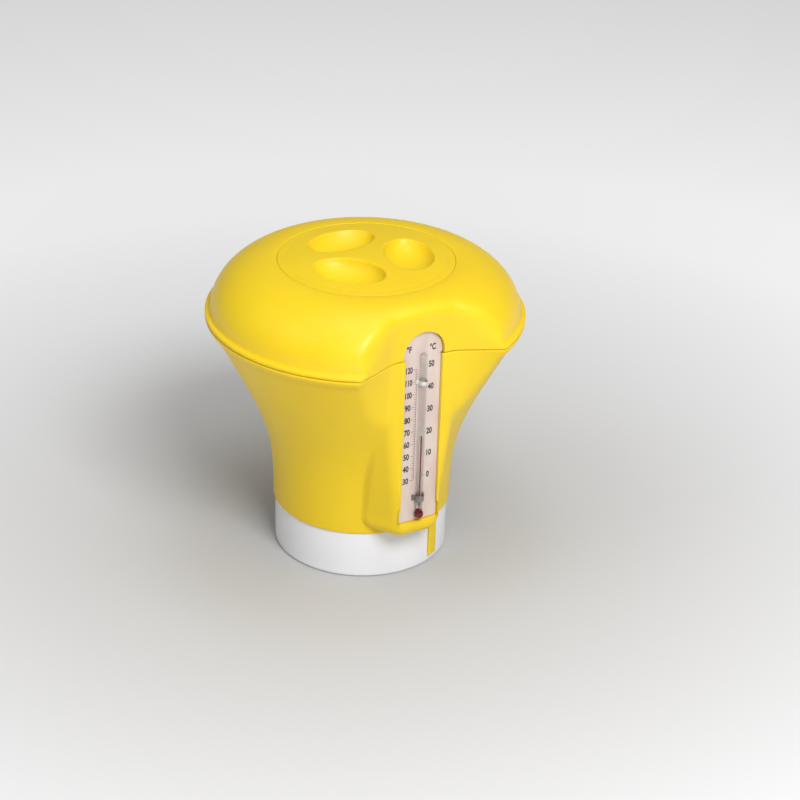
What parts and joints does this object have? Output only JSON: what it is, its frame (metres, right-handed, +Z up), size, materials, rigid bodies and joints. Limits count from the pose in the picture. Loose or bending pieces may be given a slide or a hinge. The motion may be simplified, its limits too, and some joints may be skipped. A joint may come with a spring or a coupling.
{
  "type": "floating chlorine dispenser",
  "caption": "Mushroom-shaped floating tablet dispenser with a bayonet filler lid, a turning slotted cup below and a thermometer set into its side",
  "frame": {"origin": "on the vertical axis, at the flat underside of the turning cup", "axes": "+Z up along the float's axis, -Y towards the thermometer, +X to the right of someone who reads it"},
  "size_m": [0.185, 0.1725, 0.185],
  "materials": {
    "dome_plastic": "satin moulded",
    "hull_plastic": "satin moulded",
    "lid_plastic": "satin moulded",
    "basket_plastic": "moulded",
    "cup_plastic": "satin moulded",
    "seal_rubber": "matte",
    "card_plastic": "printed",
    "tube_glass": "clear",
    "red_liquid": "coloured spirit",
    "clip_steel": "dull wire",
    "screw_steel": "bright"
  },
  "bodies": {
    "float_body": {"dome_shell": "dome_plastic", "hull_shell": "hull_plastic", "tablet_basket": "basket_plastic", "basket_gasket": "seal_rubber", "basket_oring": "seal_rubber", "thermometer_card": "card_plastic", "thermometer_glass": "tube_glass", "thermometer_liquid": "red_liquid", "tube_clip_upper": "clip_steel", "tube_clip_lower": "clip_steel"},
    "cup_body": {"flow_cup": "cup_plastic", "pivot_screw": "screw_steel", "pivot_washer": "screw_steel"},
    "seal_ring": {"lid_seal": "seal_rubber"},
    "lid_body": {"filler_lid": "lid_plastic"}
  },
  "joints": [
    {"name": "cup_turn", "type": "hinge", "parent": "float_body", "child": "cup_body", "pos_m": [0, 0, 0], "axis": [0, 0, 1], "range_deg": [0, 30]},
    {"name": "lid_lift", "type": "slide", "parent": "float_body", "child": "seal_ring", "axis": [0, 0, 1], "range_m": [0, 0.06]},
    {"name": "lid_turn", "type": "hinge", "parent": "seal_ring", "child": "lid_body", "pos_m": [0, 0, 0.18], "axis": [0, 0, -1], "range_deg": [0, 45]}
  ]
}
